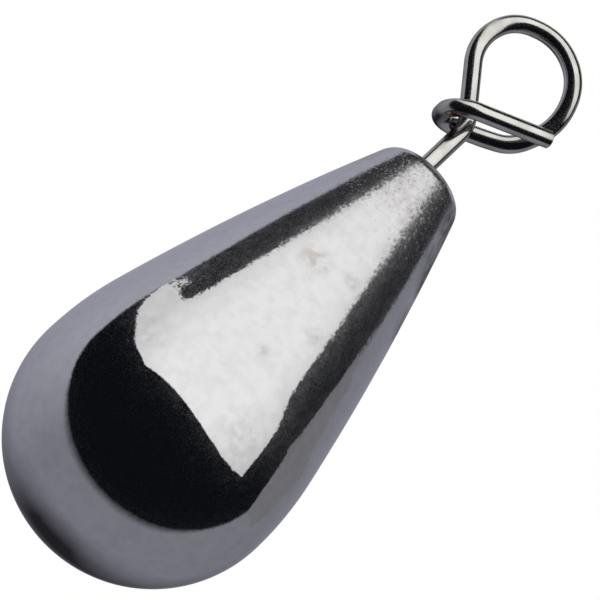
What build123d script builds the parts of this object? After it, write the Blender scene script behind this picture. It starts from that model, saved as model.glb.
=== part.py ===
from build123d import *
import math
import os

# A teardrop fishing sinker on a swivelling wire eye. Lengths in millimetres, angles in degrees.
# The swivel axis is Z, with the eye on top as it hangs in use. The origin is the centre of the
# eye's loop, which lies close to the XZ plane, so the line passes through it along Y.

# Sinker body: a ball at the bottom, drawn up into a slim, slightly bulging cone
belly_diameter = 12.4
body_length = 23.28
shoulder_radius = 15.8
shoulder_angle = 12.5
tip_diameter = 3.9
tip_edge_radius = 0.9

# Bore in the tip and the resin that fills round the barrel. The bore is drilled along the swivel
# axis, and the body stands off that axis towards +X by the bore's offset.
bore_diameter = 2.4
bore_offset = 0.38
bond_gap = 0.1
bond_floor = 0.4

# Swivel barrel, from its top face down
barrel_recess = 0.25
neck_length = 2.0
cavity_diameter = 1.6
plug_thickness = 0.9
mouth_chamfer = 0.15
groove_count = 2
groove_width = 0.4
groove_depth = 0.15

# Running fit of the wire in the barrel
swivel_clearance = 0.05
head_float = 0.15

# Wire, with the head upset on its foot
wire_diameter = 0.78
head_diameter = 1.4
head_height = 0.6
head_edge_radius = 0.12

# Wire eye: stem, leaning side, loop, wrap round the stem and pinching tail
stem_length = 3.08
eye_rise = 3.08
bend_radius = 1.5
loop_radius = 2.48
loop_drift = 0.6
pinch_gap = 0.15
wrap_gap = 0.38
wrap_drop = 0.32
wrap_slack = 0.9
wrap_sag = 0.2
tail_reach = 2.75
tail_angle = 34.0

# Loop corners every eighth of a turn from the leaning side over the top to the lower right,
# as shares of the corner distance of a true octagon: the leaning side flattens the first one
loop_corner_shares = [0.885, 1.045, 1.05, 0.985, 0.98, 0.995]
loop_step = 45
# How far the same corners stand behind the XZ plane, as shares of the drift: the top leans forwards,
# and the right side runs back to pass behind the stem
loop_drift_shares = [0.0, 0.0, -0.3, -0.75, 0.1, 1.0]
# Place of the corner behind the stem, as a share of the wire
back_corner_share = 0.9
# Part of a straight run that the rounding at each of its ends takes up
rounding_share = 0.48

# Levels along the axis
bend_z = -eye_rise
tip_z = bend_z - stem_length
bottom_z = tip_z - body_length
belly_z = bottom_z + belly_diameter / 2
barrel_top_z = tip_z - barrel_recess
shoulder_z = barrel_top_z - neck_length
head_top_z = shoulder_z - swivel_clearance
head_low_z = head_top_z - head_height
plug_top_z = shoulder_z - head_height - head_float
barrel_low_z = plug_top_z - plug_thickness
bore_low_z = barrel_low_z - bond_floor

barrel_radius = bore_diameter / 2 - bond_gap
neck_radius = wire_diameter / 2 + swivel_clearance


def column(radius, low, high):
    return Pos(0, 0, low) * Cylinder(radius, high - low, align=(Align.CENTER, Align.CENTER, Align.MIN))


def sinker_body():
    belly_radius = belly_diameter / 2
    turn = math.radians(shoulder_angle)
    bottom = (0, bottom_z)
    equator = (belly_radius, belly_z)
    shoulder = (
        belly_radius - shoulder_radius * (1 - math.cos(turn)),
        belly_z + shoulder_radius * math.sin(turn),
    )
    tip_corner = (tip_diameter / 2, tip_z)
    tip_centre = (0, tip_z)
    outline = [
        TangentArc(bottom, equator, tangent=(1, 0)),
        TangentArc(equator, shoulder, tangent=(0, 1)),
        TangentArc(shoulder, tip_corner, tangent=(-math.sin(turn), math.cos(turn))),
        Line(tip_corner, tip_centre),
        Line(tip_centre, bottom),
    ]
    body = revolve(Plane.XZ * make_face(Curve() + outline), Axis.Z)
    tip_edge = body.edges().filter_by(GeomType.CIRCLE).sort_by(Axis.Z)[-1]
    body = Pos(bore_offset, 0, 0) * fillet(tip_edge, tip_edge_radius)
    return body - column(bore_diameter / 2, bore_low_z, tip_z)


def barrel_form():
    # Outer form of the barrel, with ring grooves round the neck that key it into the resin
    form = column(barrel_radius, barrel_low_z, barrel_top_z)
    pitch = neck_length / (groove_count + 1)
    for number in range(groove_count):
        low = barrel_top_z - (number + 1) * pitch - groove_width / 2
        high = low + groove_width
        ring = column(barrel_radius, low, high) - column(barrel_radius - groove_depth, low, high)
        form = form - ring
    return form


def swivel_barrel():
    barrel = barrel_form()
    barrel = barrel - column(neck_radius, shoulder_z, barrel_top_z)
    barrel = barrel - column(cavity_diameter / 2, barrel_low_z, shoulder_z)
    top = barrel.faces().sort_by(Axis.Z)[-1]
    mouth = top.edges().sort_by(SortBy.RADIUS)[0]
    return chamfer(mouth, mouth_chamfer)


def barrel_plug():
    return column(cavity_diameter / 2, barrel_low_z, plug_top_z)


def resin_bond():
    return column(bore_diameter / 2, bore_low_z, barrel_top_z) - barrel_form()


def eye_corners():
    # Corners of the wire's centre line, from the top of the head to the cut end of the tail
    strand_offset = wire_diameter + pinch_gap
    wrap_reach = wire_diameter + wrap_gap
    foot = (0, 0, head_low_z)
    bend = (0, 0, bend_z)

    octagon_reach = loop_radius / math.cos(math.radians(loop_step / 2))
    loop = []
    for number, share in enumerate(loop_corner_shares):
        angle = math.radians(180 - number * loop_step)
        reach = octagon_reach * share
        drift = loop_drift * loop_drift_shares[number]
        loop.append((reach * math.cos(angle), drift, reach * math.sin(angle)))
    right, lower_right = loop[-2:]
    low_x, low_y, low_z = lower_right

    wrap_back_z = bend_z - wrap_drop
    back_x = back_corner_share * wire_diameter
    back_slope = (low_z - wrap_back_z) / (low_x + wrap_reach)
    behind_stem = (back_x, strand_offset, wrap_back_z + back_slope * (back_x + wrap_reach))
    wrap_back = (-wrap_reach, strand_offset, wrap_back_z)

    # The tail runs straight from the slack wrap to its end, just in front of the loop's right side
    wrap_front = (-wrap_reach, -strand_offset - wrap_slack, wrap_back_z - wrap_sag)
    tail_rise = (tail_reach + wrap_reach) * math.tan(math.radians(tail_angle))
    tail_z = wrap_back_z - wrap_sag + tail_rise
    right_y = right[1]
    side_y = right_y + (low_y - right_y) * tail_z / low_z
    tail_end = (tail_reach, side_y - strand_offset, tail_z)
    return [foot, bend, *loop, behind_stem, wrap_back, wrap_front, tail_end]


def rounding(before, corner, after):
    # The widest arc that leaves room for its neighbours on both runs
    run_in = Vector(corner) - Vector(before)
    run_out = Vector(after) - Vector(corner)
    turn = math.radians(run_in.get_angle(run_out))
    return rounding_share * min(run_in.length, run_out.length) / math.tan(turn / 2)


def line_eye():
    corners = eye_corners()
    radii = [rounding(*corners[index - 1:index + 2]) for index in range(1, len(corners) - 1)]
    radii[0] = min(bend_radius, radii[0])
    route = FilletPolyline(*corners, radius=radii)
    wire = sweep(Pos(*corners[0]) * Circle(wire_diameter / 2), path=route)
    head = column(head_diameter / 2, head_low_z, head_top_z)
    head = fillet(head.edges().filter_by(GeomType.CIRCLE), head_edge_radius)
    return wire + head


pieces = {
    "sinker_body": sinker_body(),
    "resin_bond": resin_bond(),
    "swivel_barrel": swivel_barrel(),
    "barrel_plug": barrel_plug(),
    "line_eye": line_eye(),
}

os.makedirs("parts", exist_ok=True)
for name, piece in pieces.items():
    export_step(piece, f"parts/{name}.step")
    print(name, "volume", round(piece.volume, 3), "valid", piece.is_valid)
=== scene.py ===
import math

import bmesh
import bpy
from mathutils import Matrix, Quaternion, Vector


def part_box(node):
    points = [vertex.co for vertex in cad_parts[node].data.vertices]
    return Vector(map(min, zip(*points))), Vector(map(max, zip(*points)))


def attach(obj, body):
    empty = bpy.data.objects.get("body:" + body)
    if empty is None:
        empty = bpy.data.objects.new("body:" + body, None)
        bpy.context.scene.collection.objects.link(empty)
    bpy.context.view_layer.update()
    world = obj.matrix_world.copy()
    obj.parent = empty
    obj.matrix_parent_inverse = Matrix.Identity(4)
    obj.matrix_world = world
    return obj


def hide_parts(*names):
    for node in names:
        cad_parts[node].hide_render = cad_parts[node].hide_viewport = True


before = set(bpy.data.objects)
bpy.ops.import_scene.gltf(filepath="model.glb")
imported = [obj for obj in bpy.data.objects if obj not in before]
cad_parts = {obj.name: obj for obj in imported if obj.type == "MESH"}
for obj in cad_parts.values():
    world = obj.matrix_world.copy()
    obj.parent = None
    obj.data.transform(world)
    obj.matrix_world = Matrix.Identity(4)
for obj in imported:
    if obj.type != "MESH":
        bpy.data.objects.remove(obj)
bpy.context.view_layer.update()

mm = 0.001
mergeDistance = 0.0005 * mm
white = (1, 1, 1, 1)
bodyLow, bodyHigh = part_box("sinker_body")
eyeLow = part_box("line_eye")[0]
tipZ = bodyHigh.z
bottomZ = bodyLow.z
# the bore is off the body's axis, so the body is off the swivel's
bodyX = (bodyLow.x + bodyHigh.x) / 2
print("frame loaded, tip at", round(tipZ / mm, 3), "mm")


# edit mode helpers

def newPiece(name):
    piece = bpy.context.object
    piece.name = name
    piece.data.name = name
    bpy.ops.object.transform_apply(location=True, rotation=True, scale=True)
    bpy.ops.object.mode_set(mode="EDIT")
    return piece


def pickFaces(piece, wanted):
    mesh = bmesh.from_edit_mesh(piece.data)
    for face in mesh.faces:
        face.select_set(False)
    for face in mesh.faces:
        if wanted(face):
            face.select_set(True)
    mesh.select_flush_mode()
    bmesh.update_edit_mesh(piece.data)


def pullBy(offset):
    bpy.ops.mesh.extrude_region_move(TRANSFORM_OT_translate={"value": tuple(offset)})


def turnBy(degrees, centre, axis, steps):
    # right-hand rule about the axis; spin itself turns the other way
    bpy.ops.mesh.spin(steps=steps, angle=-math.radians(degrees), center=tuple(centre), axis=tuple(axis))


def closeMesh(piece, smoothAngle):
    bpy.ops.mesh.select_all(action="SELECT")
    bpy.ops.mesh.remove_doubles(threshold=mergeDistance)
    bpy.ops.mesh.normals_make_consistent(inside=False)
    bpy.ops.object.mode_set(mode="OBJECT")
    bpy.ops.object.shade_smooth_by_angle(angle=math.radians(smoothAngle))
    print(piece.name, "has", len(piece.data.polygons), "faces")


# sinker body: one point is spun round each arc of the outline, then the outline is turned on its axis

sinkerShape = {
    "bellyRadius": 6.2 * mm,
    "shoulderRadius": 15.8 * mm,
    "shoulderTurn": 12.5,          # degrees
    "tipRadius": 1.95 * mm,        # where the side and the flat tip would meet
    "tipEdge": 0.9 * mm,           # rounding there
    "boreRadius": 1.2 * mm,
    "boreDepth": 4.3 * mm,
    "boreSides": 100,
    "arcSteps": (64, 16, 48, 20),  # belly, shoulder, side and edge of the tip
    "latheSteps": 224,
    "smoothAngle": 35,
    "waveSize": 3.4 * mm,          # hand polishing leaves long, very low waves
    "waveHeight": 0.010 * mm,
    "waveDetail": 1,
}


def makeSinkerBody(shape):
    belly = shape["bellyRadius"]
    edge = shape["tipEdge"]
    bellyZ = bottomZ + belly
    turn = math.radians(shape["shoulderTurn"])
    shoulderX = belly - shape["shoulderRadius"] * (1 - math.cos(turn))
    shoulderZ = bellyZ + shape["shoulderRadius"] * math.sin(turn)
    # the side is one long arc from the shoulder to the corner of the tip
    chord = Vector((shape["tipRadius"] - shoulderX, tipZ - shoulderZ))
    inward = Vector((-math.cos(turn), -math.sin(turn)))
    sideRadius = chord.length_squared / (2 * chord.dot(inward))
    sideX = shoulderX + inward.x * sideRadius
    sideZ = shoulderZ + inward.y * sideRadius
    edgeZ = tipZ - edge
    edgeTurn = math.asin((edgeZ - sideZ) / (sideRadius - edge))
    edgeX = sideX + (sideRadius - edge) * math.cos(edgeTurn)

    bpy.ops.object.select_all(action="DESELECT")
    bpy.ops.mesh.primitive_plane_add(size=mm, location=(0, 0, bottomZ))
    body = newPiece("sinkerBody")
    bpy.ops.mesh.select_all(action="SELECT")
    bpy.ops.mesh.merge(type="CENTER")
    upwards = (0, -1, 0)
    bellySteps, shoulderSteps, sideSteps, edgeSteps = shape["arcSteps"]
    turnBy(90, (0, 0, bellyZ), upwards, bellySteps)
    turnBy(shape["shoulderTurn"], (belly - shape["shoulderRadius"], 0, bellyZ), upwards, shoulderSteps)
    turnBy(math.degrees(edgeTurn - turn), (sideX, 0, sideZ), upwards, sideSteps)
    turnBy(90 - math.degrees(edgeTurn), (edgeX, 0, edgeZ), upwards, edgeSteps)
    pullBy((-edgeX, 0, 0))
    bpy.ops.mesh.select_all(action="SELECT")
    turnBy(360, (0, 0, 0), (0, 0, 1), shape["latheSteps"])
    bpy.ops.mesh.select_all(action="SELECT")
    bpy.ops.transform.translate(value=(bodyX, 0, 0))
    closeMesh(body, shape["smoothAngle"])

    waves = bpy.data.textures.new("polishWaves", "CLOUDS")
    waves.noise_scale = shape["waveSize"]
    waves.noise_depth = shape["waveDetail"]
    displace = body.modifiers.new("polishWaves", "DISPLACE")
    displace.texture = waves
    displace.texture_coords = "LOCAL"
    displace.strength = shape["waveHeight"]
    bpy.ops.object.modifier_apply(modifier=displace.name)
    drillBore(body, shape)
    return body


def drillBore(body, shape):
    bpy.ops.object.select_all(action="DESELECT")
    bpy.ops.mesh.primitive_cylinder_add(
        vertices=shape["boreSides"],
        radius=shape["boreRadius"],
        depth=2 * shape["boreDepth"],
        location=(0, 0, tipZ),
    )
    drill = bpy.context.object
    bpy.ops.object.select_all(action="DESELECT")
    bpy.context.view_layer.objects.active = body
    body.select_set(True)
    bore = body.modifiers.new("bore", "BOOLEAN")
    bore.object = drill
    bore.operation = "DIFFERENCE"
    bore.solver = "EXACT"
    bpy.ops.object.modifier_apply(modifier=bore.name)
    bpy.data.objects.remove(drill)
    # the cut leaves faces of many corners round the bore
    bpy.ops.object.mode_set(mode="EDIT")
    pickFaces(body, lambda face: len(face.verts) > 4)
    bpy.ops.mesh.quads_convert_to_tris(quad_method="BEAUTY", ngon_method="BEAUTY")
    closeMesh(body, shape["smoothAngle"])


# wire eye: an upset head, then the wire is pulled and bent round each corner of its centre line

eyeShape = {
    "wireRadius": 0.39 * mm,
    "wireSides": 40,
    "headRadius": 0.7 * mm,
    "headHeight": 0.6 * mm,
    "headEdge": 0.12 * mm,
    "headSegments": 4,
    "flatLimit": 0.999,            # how straight up or down a flat end of the head faces
    "bendZ": -3.08 * mm,
    "bendRadius": 1.5 * mm,
    "loopRadius": 2.48 * mm,
    "loopStep": 45,                # degrees between corners of the loop
    "loopShares": [0.885, 1.045, 1.05, 0.985, 0.98, 0.995],
    "loopDrift": 0.6 * mm,         # forwards or back, out of the loop's plane
    "driftShares": [0.0, 0.0, -0.3, -0.75, 0.1, 1.0],
    "pinchGap": 0.15 * mm,
    "wrapGap": 0.38 * mm,
    "wrapDrop": 0.32 * mm,
    "wrapSlack": 0.9 * mm,
    "wrapSag": 0.2 * mm,
    "backShare": 0.9,
    "tailReach": 2.75 * mm,
    "tailAngle": 34.0,
    "roundingShare": 0.48,
    "degreesPerStep": 3,
    "leastSteps": 4,
    "cutEdge": 0.05 * mm,
    "smoothAngle": 40,
}


def eyeCorners(shape):
    wire = 2 * shape["wireRadius"]
    strandOffset = wire + shape["pinchGap"]
    wrapReach = wire + shape["wrapGap"]
    reach = shape["loopRadius"] / math.cos(math.radians(shape["loopStep"] / 2))
    loop = []
    for number, share in enumerate(shape["loopShares"]):
        angle = math.radians(180 - number * shape["loopStep"])
        drift = shape["loopDrift"] * shape["driftShares"][number]
        loop.append(Vector((reach * share * math.cos(angle), drift, reach * share * math.sin(angle))))
    right, lowerRight = loop[-2:]

    backZ = shape["bendZ"] - shape["wrapDrop"]
    backX = shape["backShare"] * wire
    slope = (lowerRight.z - backZ) / (lowerRight.x + wrapReach)
    behindStem = Vector((backX, strandOffset, backZ + slope * (backX + wrapReach)))
    wrapBack = Vector((-wrapReach, strandOffset, backZ))

    # the tail runs straight from the slack wrap to its end, just in front of the loop's right side
    wrapFront = Vector((-wrapReach, -strandOffset - shape["wrapSlack"], backZ - shape["wrapSag"]))
    tailRise = (shape["tailReach"] + wrapReach) * math.tan(math.radians(shape["tailAngle"]))
    tailZ = wrapFront.z + tailRise
    side = right.lerp(lowerRight, tailZ / lowerRight.z)
    tailEnd = Vector((shape["tailReach"], side.y - strandOffset, tailZ))
    return [Vector((0, 0, shape["bendZ"])), *loop, behindStem, wrapBack, wrapFront, tailEnd]


def makeWireEye(shape):
    headTop = eyeLow.z + shape["headHeight"]
    bpy.ops.object.select_all(action="DESELECT")
    bpy.ops.mesh.primitive_cylinder_add(
        vertices=shape["wireSides"],
        radius=shape["headRadius"],
        depth=shape["headHeight"],
        location=(0, 0, headTop - shape["headHeight"] / 2),
    )
    eye = newPiece("wireEye")
    flat = shape["flatLimit"]
    pickFaces(eye, lambda face: abs(face.normal.z) > flat)
    bpy.ops.mesh.bevel(offset=shape["headEdge"], segments=shape["headSegments"], affect="EDGES")
    pickFaces(eye, lambda face: face.normal.z > flat and len(face.verts) == shape["wireSides"])
    bpy.ops.mesh.inset(thickness=shape["headRadius"] - shape["headEdge"] - shape["wireRadius"])
    ring = [vert.co for vert in bmesh.from_edit_mesh(eye.data).verts if vert.select]
    scale = shape["wireRadius"] / max(co.xy.length for co in ring)
    bpy.ops.transform.resize(value=(scale, scale, 1), center_override=(0, 0, headTop))

    corners = eyeCorners(shape)
    here = Vector((0, 0, headTop))
    before = here
    for number, corner in enumerate(corners[:-1]):
        runIn = corner - before
        runOut = corners[number + 1] - corner
        turn = runIn.angle(runOut)
        radius = shape["roundingShare"] * min(runIn.length, runOut.length) / math.tan(turn / 2)
        if number == 0:
            radius = min(radius, shape["bendRadius"])
        start = corner - runIn.normalized() * radius * math.tan(turn / 2)
        axis = runIn.cross(runOut).normalized()
        centre = start + axis.cross(runIn.normalized()) * radius
        pullBy(start - here)
        steps = max(shape["leastSteps"], round(math.degrees(turn) / shape["degreesPerStep"]))
        turnBy(math.degrees(turn), centre, axis, steps)
        here = corner + runOut.normalized() * radius * math.tan(turn / 2)
        before = corner
    cut = (corners[-1] - here).normalized() * shape["cutEdge"]
    pullBy(corners[-1] - here - cut)
    bpy.ops.mesh.inset(thickness=shape["cutEdge"], depth=shape["cutEdge"])
    closeMesh(eye, shape["smoothAngle"])
    markWire(eye, headTop, shape["wireRadius"])
    return eye


def middleOf(verts):
    return sum((vert.co for vert in verts), Vector()) / len(verts)


def markWire(eye, startZ, wireRadius):
    # each point keeps its place round and along the wire, walked ring by ring, for the drawing marks
    near = mm / 100
    mesh = bmesh.new()
    mesh.from_mesh(eye.data)
    layer = mesh.verts.layers.float_vector.new("drawnWire")
    seen = {vert for vert in mesh.verts if vert.co.z < startZ + near}
    top = [vert for vert in mesh.verts if abs(vert.co.z - startZ) < near]
    ring = [vert for vert in top if vert.co.xy.length < wireRadius + near]
    for vert in ring:
        vert[layer] = (vert.co.x, vert.co.y, 0)
    along = 0
    while ring:
        follow = {}
        for vert in ring:
            for edge in vert.link_edges:
                other = edge.other_vert(vert)
                if other not in seen:
                    follow[other] = vert
        if follow:
            along += (middleOf(follow) - middleOf(ring)).length
        for vert, source in follow.items():
            vert[layer] = (source[layer].x, source[layer].y, along)
        seen.update(follow)
        ring = list(follow)
    mesh.to_mesh(eye.data)
    mesh.free()
    print("wire is", round(along / mm, 2), "mm long above its head")


sinkerBody = makeSinkerBody(sinkerShape)
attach(sinkerBody, "sinker")
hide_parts("sinker_body")

wireEye = makeWireEye(eyeShape)
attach(wireEye, "eye")
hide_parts("line_eye")
print("pieces modelled")


# shader helpers

class Nodes:
    def __init__(self, tree):
        self.tree = tree

    def add(self, kind, **values):
        node = self.tree.nodes.new(kind)
        for name, value in values.items():
            setattr(node, name, value)
        return node

    def fill(self, socket, value):
        if isinstance(value, bpy.types.NodeSocket):
            self.tree.links.new(value, socket)
        else:
            socket.default_value = value

    def put(self, node, **inputs):
        for name, value in inputs.items():
            self.fill(node.inputs[name.replace("_", " ")], value)
        return node

    def apart(self, vector):
        node = self.add("ShaderNodeSeparateXYZ")
        self.fill(node.inputs[0], vector)
        return node.outputs

    def noise(self, vector, scale, detail):
        node = self.add("ShaderNodeTexNoise")
        self.put(node, Vector=vector, Scale=scale, Detail=detail)
        return node.outputs["Fac"]

    def cells(self, vector, scale):
        node = self.add("ShaderNodeTexVoronoi")
        self.put(node, Vector=vector, Scale=scale)
        return node.outputs

    def spread(self, value, low, high, outLow=0.0, outHigh=1.0):
        node = self.add("ShaderNodeMapRange")
        self.put(node, Value=value, From_Min=low, From_Max=high, To_Min=outLow, To_Max=outHigh)
        return node.outputs["Result"]

    def between(self, mask, first, second):
        return self.spread(mask, 0.0, 1.0, first, second)

    def math(self, operation, first, second=0.0):
        node = self.add("ShaderNodeMath", operation=operation)
        self.fill(node.inputs[0], first)
        self.fill(node.inputs[1], second)
        return node.outputs["Value"]

    def vector(self, operation, first, second=None):
        node = self.add("ShaderNodeVectorMath", operation=operation)
        self.fill(node.inputs[0], first)
        if operation == "SCALE":
            self.fill(node.inputs["Scale"], second)
        elif second is not None:
            self.fill(node.inputs[1], second)
        single = operation in ("DISTANCE", "DOT_PRODUCT", "LENGTH")
        return node.outputs["Value" if single else "Vector"]

    def mix(self, factor, first, second):
        # of the node's many sockets, 6, 7 and output 2 are the colours
        node = self.add("ShaderNodeMix", data_type="RGBA")
        for number, value in ((0, factor), (6, first), (7, second)):
            self.fill(node.inputs[number], value)
        return node.outputs[2]

    def bump(self, height, distance):
        node = self.add("ShaderNodeBump")
        self.put(node, Height=height, Distance=distance, Strength=1.0)
        return node.outputs["Normal"]

    def shared(self, group, place, **values):
        node = self.add("ShaderNodeGroup", node_tree=group)
        self.put(node, Place=place, **values)
        return node.outputs["Mask"]


# effects that several finishes share

def newGroup(name, inputs):
    group = bpy.data.node_groups.new(name, "ShaderNodeTree")
    group.interface.new_socket("Place", in_out="INPUT", socket_type="NodeSocketVector")
    for label in inputs:
        group.interface.new_socket(label, in_out="INPUT", socket_type="NodeSocketFloat")
    group.interface.new_socket("Mask", in_out="OUTPUT", socket_type="NodeSocketFloat")
    nodes = Nodes(group)
    return group, nodes, nodes.add("NodeGroupInput").outputs, nodes.add("NodeGroupOutput")


def makeSpotGroup():
    # soft-edged spots: smudges, handling marks, tarnish and clouds
    group, nodes, given, result = newGroup("softSpots", ["Size", "Low", "High"])
    cloud = nodes.noise(given["Place"], nodes.math("DIVIDE", 1.0, given["Size"]), detail=3.0)
    nodes.put(result, Mask=nodes.spread(cloud, given["Low"], given["High"]))
    return group


def makeGrainGroup():
    # a share of the metal's grains, which the polish leaves open; each grain has a random colour
    group, nodes, given, result = newGroup("openGrain", ["Size", "Share"])
    grain = nodes.cells(given["Place"], nodes.math("DIVIDE", 1.0, given["Size"]))["Color"]
    nodes.put(result, Mask=nodes.math("LESS_THAN", nodes.apart(grain)["X"], given["Share"]))
    return group


spotGroup = makeSpotGroup()
grainGroup = makeGrainGroup()


def softSpots(nodes, place, size, limits):
    low, high = limits
    return nodes.shared(spotGroup, place, Size=size, Low=low, High=high)


def openGrain(nodes, place, size, share):
    return nodes.shared(grainGroup, place, Size=size, Share=share)


def newMaterial(name):
    material = bpy.data.materials.new(name)
    material.use_nodes = True
    nodes = Nodes(material.node_tree)
    shader = material.node_tree.nodes["Principled BSDF"]
    return material, nodes, shader


def ownPlace(nodes):
    return nodes.add("ShaderNodeTexCoord").outputs["Object"]


def wear(piece, material):
    piece.data.materials.clear()
    piece.data.materials.append(material)


# tungsten: mirror polished on the belly, more open in grain and hazier towards the tip
# three values are for the belly, the shoulder and the tip
# a mark has its middle from the body's axis and its radius in mm, and its depth

tungstenFinish = {
    "colour": (0.300, 0.300, 0.303, 1),
    "edgeTint": (0.68, 0.68, 0.70, 1),
    "shoulder": (2.2 * mm, 5 * mm),      # above the widest place, between the belly's finish and the tip's
    "mirror": (0.04, 0.05, 0.14),        # roughness of the polished grains
    "haze": 0.30,                        # roughness of the open ones
    "film": (0.0, 0.015, 0.03),          # dull oxide
    "fineSize": 0.008 * mm,
    "fineShare": (0.05, 0.16, 0.30),     # of open fine grains
    "fineStreaks": (0.8, 1.25),          # times as many off and on the polishing streaks
    "fineSides": (0.40, 1.25),           # times as many on the left side and on the right
    "grainSize": 0.085 * mm,
    "grainShare": 0.17,                  # of open coarse grains at the tip
    "grainStreaks": (0.4, 2.2),
    "grainReach": 5 * mm,                # down from the tip
    "grainTilt": (0.007, 0.014, 0.042),  # how far the coarse grains lean
    "lumpSize": 1.1 * mm,
    "lumpHeight": 0.003 * mm,
    "streakSize": 0.34 * mm,             # polishing runs up and down the body
    "streakStretch": 0.6,
    "streakLimits": (0.35, 0.65),
    "stain": (0.225, 0.214, 0.208, 1),
    "cloudSize": 0.5 * mm,
    "cloudLimits": (0.40, 0.75),
    "cloudDepth": 0.35,
    "spotSize": 0.42 * mm,
    "spotLimits": (0.37, 0.58),
    "markCore": 0.3,                     # share of a mark's radius that has its full depth
    "smudges": [
        (Vector((-0.7, -4.4, -14.4)), 0.9, 1.0),
        (Vector((1.0, -4.2, -13.8)), 0.5, 0.9),
        (Vector((0.5, -5.8, -19.5)), 0.45, 0.7),
        (Vector((1.6, -5.0, -17.1)), 0.6, 0.7),
        (Vector((2.5, -5.7, -23.0)), 1.6, 0.5),
        (Vector((-3.2, -5.3, -22.5)), 1.2, 0.4),
        (Vector((0.1, -2.8, -8.6)), 1.9, 0.6),
        (Vector((2.6, 3.9, -15.5)), 1.4, 0.8),
        (Vector((-3.8, 3.4, -18.5)), 1.1, 0.7),
    ],
    "grime": (0.080, 0.078, 0.076, 1),
    "grimeHaze": 0.6,
    "grimeShift": 9 * mm,                # so that its streaks aren't the polish's
    "grimeLimits": (0.42, 0.62),
    "grimeDepth": (0.0, 0.0, 0.05),
    "rimReach": 0.5 * mm,                # of the grime round the tip's edge
    "rimDepth": 0.9,
    "cakedLeast": 0.45,                  # of a mark's depth between the grime's streaks
    "grimeMarks": [
        (Vector((2.1, -0.5, -7.4)), 1.6, 1.4),
        (Vector((2.9, -0.6, -9.6)), 1.8, 1.4),
        (Vector((3.7, -0.8, -12.2)), 1.4, 0.9),
        (Vector((-2.4, 0.2, -7.6)), 1.8, 0.6),
    ],
}


def makeTungsten(finish):
    material, nodes, shader = newMaterial("polishedTungsten")
    place = ownPlace(nodes)
    height = nodes.apart(place)["Z"]
    widest = bottomZ + sinkerShape["bellyRadius"]
    bellyEnd, tipStart = finish["shoulder"]
    axisPlace = Vector((bodyX, 0, 0))

    def upTheBody(values):
        belly, shoulder, tip = values
        low = nodes.spread(height, widest, widest + bellyEnd, belly, shoulder)
        high = nodes.spread(height, widest + tipStart, tipZ, 0.0, tip - shoulder)
        return nodes.math("ADD", low, high)

    def addMarks(total, marks, broken):
        for middle, radius, depth in marks:
            away = nodes.vector("DISTANCE", place, middle * mm + axisPlace)
            near = nodes.spread(away, radius * mm * finish["markCore"], radius * mm, depth, 0.0)
            total = nodes.math("ADD", total, nodes.math("MULTIPLY", near, broken))
        return total

    # the same way round the body all the way up, so that marks can run along it
    fromAxis = nodes.vector("SUBTRACT", place, axisPlace)
    outward = nodes.vector("NORMALIZE", nodes.vector("MULTIPLY", fromAxis, (1, 1, 0)))
    around = nodes.vector("SCALE", outward, sinkerShape["bellyRadius"])
    along = nodes.vector("MULTIPLY", place, (0, 0, finish["streakStretch"]))
    polishing = nodes.vector("ADD", around, along)
    hazy = softSpots(nodes, polishing, finish["streakSize"], finish["streakLimits"])
    aside = nodes.vector("ADD", polishing, (0, 0, finish["grimeShift"]))
    grimy = softSpots(nodes, aside, finish["streakSize"], finish["grimeLimits"])

    # some of the grains are open, which throws a haze round what the polished ones mirror
    streaks = nodes.between(hazy, *finish["fineStreaks"])
    sides = nodes.spread(nodes.apart(outward)["X"], -1.0, 1.0, *finish["fineSides"])
    share = nodes.math("MULTIPLY", upTheBody(finish["fineShare"]), streaks)
    fine = openGrain(nodes, place, finish["fineSize"], nodes.math("MULTIPLY", share, sides))
    streaks = nodes.between(hazy, *finish["grainStreaks"])
    share = nodes.spread(height, tipZ - finish["grainReach"], tipZ, 0.0, finish["grainShare"])
    coarse = openGrain(nodes, place, finish["grainSize"], nodes.math("MULTIPLY", share, streaks))
    opened = nodes.math("MAXIMUM", fine, coarse)
    polish = nodes.between(opened, upTheBody(finish["mirror"]), finish["haze"])

    # each coarse grain leans its own way
    grains = nodes.cells(place, 1 / finish["grainSize"])["Color"]
    lean = nodes.vector("SUBTRACT", grains, (0.5, 0.5, 0.5))
    lean = nodes.vector("SCALE", lean, upTheBody(finish["grainTilt"]))
    lumps = nodes.bump(nodes.noise(place, 1 / finish["lumpSize"], detail=1.0), finish["lumpHeight"])
    normal = nodes.vector("NORMALIZE", nodes.vector("ADD", lumps, lean))

    # faint clouds, and handling smudges that are broken into spots
    clouds = nodes.noise(place, 1 / finish["cloudSize"], detail=4.0)
    stain = nodes.spread(clouds, *finish["cloudLimits"], 0.0, finish["cloudDepth"])
    spots = softSpots(nodes, place, finish["spotSize"], finish["spotLimits"])
    stain = addMarks(stain, finish["smudges"], spots)
    colour = nodes.mix(stain, finish["colour"], finish["stain"])

    # grime in streaks, round the tip's edge and on the flanks near it
    grime = nodes.math("MULTIPLY", grimy, upTheBody(finish["grimeDepth"]))
    rim = nodes.spread(height, tipZ - finish["rimReach"], tipZ, 0.0, finish["rimDepth"])
    grime = nodes.math("ADD", grime, rim)
    caked = nodes.between(grimy, finish["cakedLeast"], 1.0)
    grime = addMarks(grime, finish["grimeMarks"], caked)
    colour = nodes.mix(grime, colour, finish["grime"])
    roughness = nodes.between(grime, polish, finish["grimeHaze"])

    film = nodes.math("SUBTRACT", 1.0, upTheBody(finish["film"]))
    nodes.put(shader, Metallic=film, Specular_Tint=finish["edgeTint"])
    nodes.put(shader, Base_Color=colour, Roughness=roughness, Normal=normal)
    return material


# wire: bright drawn stainless steel, with fine lines along it

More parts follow.
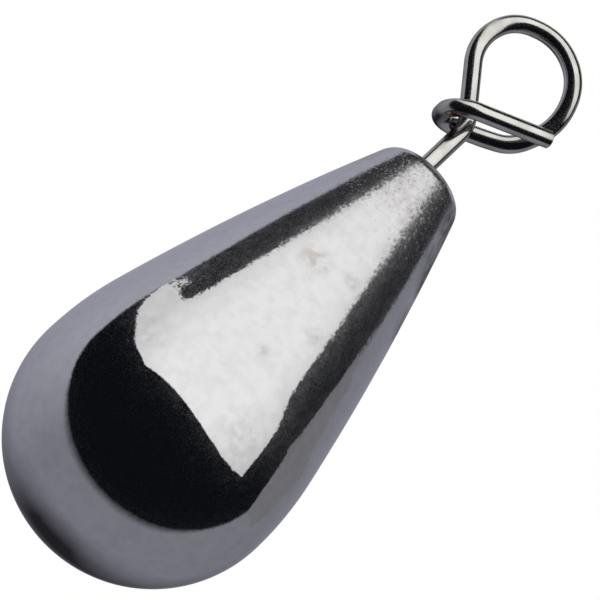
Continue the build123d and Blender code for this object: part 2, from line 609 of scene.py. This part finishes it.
wireFinish = {
    "colour": (0.300, 0.296, 0.282, 1),
    "worn": (0.220, 0.213, 0.200, 1),
    "edgeTint": (0.5, 0.5, 0.48, 1),
    "polished": (0.12, 0.22),      # roughness of the polished grains, fresh and worn
    "haze": 0.38,                  # roughness of the open ones
    "fineSize": 0.008 * mm,
    "fineShare": 0.09,             # of open grains
    "spotSize": 1.1 * mm,
    "spotLimits": (0.40, 0.70),
    "lineScale": 9000,             # per metre
    "lineStretch": (1, 1, 0.04),
    "lineHeight": 0.0012 * mm,
}


def makeWireSteel(finish):
    material, nodes, shader = newMaterial("drawnSteel")
    place = ownPlace(nodes)
    stretch = nodes.add("ShaderNodeMapping")
    drawn = nodes.add("ShaderNodeAttribute", attribute_name="drawnWire").outputs["Vector"]
    nodes.put(stretch, Vector=drawn, Scale=finish["lineStretch"])
    lines = nodes.noise(stretch.outputs["Vector"], finish["lineScale"], detail=2.0)
    handled = softSpots(nodes, place, finish["spotSize"], finish["spotLimits"])
    opened = openGrain(nodes, place, finish["fineSize"], finish["fineShare"])
    polished = nodes.between(handled, *finish["polished"])
    nodes.put(shader, Metallic=1.0, Specular_Tint=finish["edgeTint"])
    nodes.put(shader, Base_Color=nodes.mix(handled, finish["colour"], finish["worn"]))
    nodes.put(shader, Roughness=nodes.between(opened, polished, finish["haze"]))
    nodes.put(shader, Normal=nodes.bump(lines, finish["lineHeight"]))
    return material


# brass swivel barrel and its plug: turned on a lathe

brassFinish = {
    "colour": (0.66, 0.46, 0.20, 1),
    "tarnish": (0.34, 0.22, 0.10, 1),
    "roughness": (0.2, 0.45),      # bright and tarnished
    "spotSize": 0.7 * mm,
    "spotLimits": (0.42, 0.70),
    "ringPitch": 0.06 * mm,
    "ringHeight": 0.001 * mm,
}


def makeBrass(finish):
    material, nodes, shader = newMaterial("turnedBrass")
    place = ownPlace(nodes)
    tarnish = softSpots(nodes, place, finish["spotSize"], finish["spotLimits"])
    across = nodes.vector("LENGTH", nodes.vector("MULTIPLY", place, (1, 1, 0)))
    track = nodes.math("ADD", across, nodes.apart(place)["Z"])
    rings = nodes.math("SINE", nodes.math("MULTIPLY", track, 2 * math.pi / finish["ringPitch"]))
    nodes.put(shader, Metallic=1.0, Base_Color=nodes.mix(tarnish, finish["colour"], finish["tarnish"]))
    nodes.put(shader, Roughness=nodes.between(tarnish, *finish["roughness"]))
    nodes.put(shader, Normal=nodes.bump(rings, finish["ringHeight"]))
    return material


# resin bond: amber, a little cloudy, with small bubbles

resinFinish = {
    "colour": (0.36, 0.23, 0.08, 1),
    "cloud": (0.52, 0.40, 0.20, 1),
    "roughness": (0.16, 0.34),     # clear and cloudy
    "spotSize": 0.55 * mm,
    "spotLimits": (0.40, 0.68),
    "bubbleSize": 0.09 * mm,
    "bubbleLimits": (0.10, 0.28),
    "bubbleHeight": 0.006 * mm,
}


def makeResin(finish):
    material, nodes, shader = newMaterial("amberResin")
    place = ownPlace(nodes)
    cloud = softSpots(nodes, place, finish["spotSize"], finish["spotLimits"])
    away = nodes.cells(place, 1 / finish["bubbleSize"])["Distance"]
    bubbles = nodes.spread(away, *finish["bubbleLimits"])
    nodes.put(shader, Base_Color=nodes.mix(cloud, finish["colour"], finish["cloud"]))
    nodes.put(shader, Roughness=nodes.between(cloud, *finish["roughness"]))
    nodes.put(shader, Normal=nodes.bump(bubbles, finish["bubbleHeight"]))
    return material


wear(sinkerBody, makeTungsten(tungstenFinish))
wear(wireEye, makeWireSteel(wireFinish))
brass = makeBrass(brassFinish)
wear(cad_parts["swivel_barrel"], brass)
wear(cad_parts["barrel_plug"], brass)
wear(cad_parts["resin_bond"], makeResin(resinFinish))
print("materials made")


# stage: a pale floor under the sinker, walls that are dark on the camera's side and carry a painted contact
# shadow low behind the sinker, and lit cards
# places on the walls and the cards are azimuth and elevation from the stage's middle

stageMiddle = Vector((0, 0, -18 * mm))

floorSet = {
    "colour": (0.86, 0.86, 0.88, 1),
    "roughness": 0.9,
    "radius": 3.0,
    "sides": 96,
    "gap": 0.3 * mm,
}

wallSet = {
    "radius": 3.4,
    "segments": 96,
    "rings": 48,
    "colour": (0.97, 0.97, 1.13),
    "level": 0.65,
    "leastLevel": 0.61,
    "slope": (-0.33, 0, 0.36),     # brighter to the left and above
    "darkMiddle": (2.5, 13),
    "darkGlow": (0.0118, 0.0135, 0.019, 1),
    "darkEdge": (-0.085, -0.045),
    "lowEdge": -0.18,              # softer near the floor
    "lowHeights": (-0.8, -0.2),
    "shadowMiddle": (180, -5),     # painted contact shadow, low behind the sinker
    "shadowSpan": (0.62, 0.95),
    "shadowWidth": (0.12, 0.58),
    "shadowDepth": 0.56,
}

cardSet = {
    "radius": 3.0,
    "fade": (0.45, 0.88),          # from a card's rim to its middle
    "boxCard": {
        "colour": white,
        "levels": (1.85, 2.65),    # at the rim and in the middle
        "middle": (0, 38),
        "outline": [
            (-76, 42), (-70, 47), (-58, 57), (-48, 62), (38, 61), (52, 55), (60, 49), (66, 42), (70, 35),
            (70, 16), (60, 12), (45, 9.5), (25, 9.5), (10, 11), (-5, 13), (-44, 14.5), (-52, 19), (-65, 24),
        ],
    },
    "wingCard": {
        "colour": white,
        "levels": (1.7, 2.0),
        "middle": (-80, 35),
        "outline": [(-105, 40), (-94, 42), (-76, 42), (-65, 24), (-80, 29), (-92, 32), (-100, 36)],
    },
    "rearCard": {
        "colour": white,
        "levels": (2.2, 2.2),
        "middle": (180, 60),
        "outline": [(140, 50), (180, 46), (220, 50), (215, 72), (145, 72)],
    },
    "greyCard": {
        "colour": (0.98, 0.98, 1.06, 1),
        "levels": (0.52, 0.52),
        "middle": (109, 28),
        "outline": [(93, 36), (105, 44), (133, 32), (117, 15), (99, 14)],
    },
}

worldLight = 0.35


def towards(azimuth, elevation):
    # azimuth 0 is the camera's side, and 90 is on its right
    turn = math.radians(azimuth)
    rise = math.radians(elevation)
    return Vector((math.sin(turn) * math.cos(rise), -math.cos(turn) * math.cos(rise), math.sin(rise)))


def glowMaterial(name):
    material = bpy.data.materials.new(name)
    material.use_nodes = True
    tree = material.node_tree
    tree.nodes.clear()
    nodes = Nodes(tree)
    glow = nodes.add("ShaderNodeEmission")
    output = nodes.add("ShaderNodeOutputMaterial")
    tree.links.new(glow.outputs[0], output.inputs["Surface"])
    outward = nodes.vector("NORMALIZE", ownPlace(nodes))
    return material, nodes, glow, outward


def makeFloor(settings):
    bpy.ops.object.select_all(action="DESELECT")
    bpy.ops.mesh.primitive_circle_add(
        vertices=settings["sides"],
        radius=settings["radius"],
        fill_type="NGON",
        location=(0, 0, bottomZ - settings["gap"]),
    )
    floor = bpy.context.object
    floor.name = "paleFloor"
    material, nodes, shader = newMaterial("paleFloor")
    nodes.put(shader, Base_Color=settings["colour"], Roughness=settings["roughness"])
    # seen from below the floor is clear, so that the low camera looks through it
    clear = nodes.add("ShaderNodeBsdfTransparent")
    side = nodes.add("ShaderNodeNewGeometry").outputs["Backfacing"]
    choose = nodes.add("ShaderNodeMixShader")
    links = material.node_tree.links
    links.new(side, choose.inputs[0])
    links.new(shader.outputs[0], choose.inputs[1])
    links.new(clear.outputs[0], choose.inputs[2])
    links.new(choose.outputs[0], material.node_tree.nodes["Material Output"].inputs["Surface"])
    wear(floor, material)
    floor.visible_glossy = False


def makeWalls(settings):
    bpy.ops.object.select_all(action="DESELECT")
    bpy.ops.mesh.primitive_uv_sphere_add(
        segments=settings["segments"],
        ring_count=settings["rings"],
        radius=settings["radius"],
        location=stageMiddle,
    )
    walls = bpy.context.object
    walls.name = "studioWalls"
    material, nodes, glow, outward = glowMaterial("studioWalls")
    apart = nodes.apart(outward)
    level = nodes.vector("DOT_PRODUCT", outward, settings["slope"])
    level = nodes.math("ADD", level, settings["level"])
    level = nodes.math("MAXIMUM", level, settings["leastLevel"])
    # painted shadow: the walls are darkened low behind the sinker, as if a surface there held its contact
    # shadow, so the sinker's edges mirror it
    sideways = nodes.math("ABSOLUTE", apart["X"])
    narrow = nodes.spread(sideways, *settings["shadowWidth"], settings["shadowDepth"], 0.0)
    behind = nodes.vector("DOT_PRODUCT", outward, towards(*settings["shadowMiddle"]))
    corner = nodes.math("MULTIPLY", nodes.spread(behind, *settings["shadowSpan"]), narrow)
    level = nodes.math("SUBTRACT", level, corner)
    lit = nodes.vector("SCALE", settings["colour"], level)
    front = nodes.vector("DOT_PRODUCT", outward, towards(*settings["darkMiddle"]))
    outerEdge, innerEdge = settings["darkEdge"]
    outerEdge = nodes.spread(apart["Z"], *settings["lowHeights"], settings["lowEdge"], outerEdge)
    dark = nodes.spread(front, outerEdge, innerEdge)
    nodes.put(glow, Color=nodes.mix(dark, lit, settings["darkGlow"]))
    wear(walls, material)
    walls.visible_camera = False
    walls.visible_diffuse = False
    walls.visible_shadow = False


def makeCard(name, settings):
    own = settings[name]
    bpy.ops.object.select_all(action="DESELECT")
    bpy.ops.mesh.primitive_circle_add(
        vertices=len(own["outline"]),
        radius=mm,
        fill_type="TRIFAN",
        location=stageMiddle,
    )
    card = bpy.context.object
    card.name = name
    rim = [vert for vert in card.data.vertices if vert.co.length > mm / 2]
    rim.sort(key=lambda vert: math.atan2(vert.co.y, vert.co.x))
    facing = towards(*own["middle"])
    for vert in card.data.vertices:
        vert.co = facing * settings["radius"]
    for vert, corner in zip(rim, own["outline"]):
        vert.co = towards(*corner) * settings["radius"]
    material, nodes, glow, outward = glowMaterial(name)
    inwards = nodes.vector("DOT_PRODUCT", outward, facing)
    nodes.put(glow, Color=own["colour"])
    nodes.put(glow, Strength=nodes.spread(inwards, *settings["fade"], *own["levels"]))
    wear(card, material)
    card.visible_camera = False
    return card


def makeWorld(light):
    world = bpy.data.worlds.new("paleStudio")
    bpy.context.scene.world = world
    world.use_nodes = True
    nodes = Nodes(world.node_tree)
    rays = nodes.add("ShaderNodeLightPath").outputs
    seen = nodes.math("MAXIMUM", rays["Is Camera Ray"], rays["Is Glossy Ray"])
    seen = nodes.math("MAXIMUM", seen, rays["Is Transmission Ray"])
    background = world.node_tree.nodes["Background"]
    nodes.put(background, Color=white, Strength=nodes.between(seen, light, 1.0))


makeFloor(floorSet)
makeWalls(wallSet)
for cardName in ("boxCard", "wingCard", "rearCard"):
    makeCard(cardName, cardSet)
greyCard = makeCard("greyCard", cardSet)
greyCard.visible_diffuse = False
makeWorld(worldLight)
print("stage set")


# camera: a long lens, below the sinker and turned so that its axis runs up to the right

cameraSet = {
    "distance": 0.5,
    "elevation": -25,
    "axisAngle": 43.5,             # degrees from the picture's right to the sinker's axis
    "across": 24.8 * mm,           # width of the picture at the sinker
    "lookAt": Vector((0.43 * mm, 0, -14.1 * mm)),
    "sensor": 36,
    "clip": (0.01, 10),
}


def makeCamera(settings):
    camera = bpy.data.cameras.new("camera")
    holder = bpy.data.objects.new("camera", camera)
    bpy.context.scene.collection.objects.link(holder)
    back = towards(0, settings["elevation"])
    roll = math.radians(90 - settings["axisAngle"])
    holder.location = settings["lookAt"] + back * settings["distance"]
    holder.rotation_mode = "QUATERNION"
    upright = (-back).to_track_quat("-Z", "Y")
    holder.rotation_quaternion = upright @ Quaternion((0, 0, 1), roll)
    camera.sensor_width = settings["sensor"]
    camera.lens = settings["sensor"] * settings["distance"] / settings["across"]
    camera.clip_start, camera.clip_end = settings["clip"]
    bpy.context.scene.camera = holder


makeCamera(cameraSet)
bpy.context.scene.view_settings.view_transform = "Standard"
print("camera set")
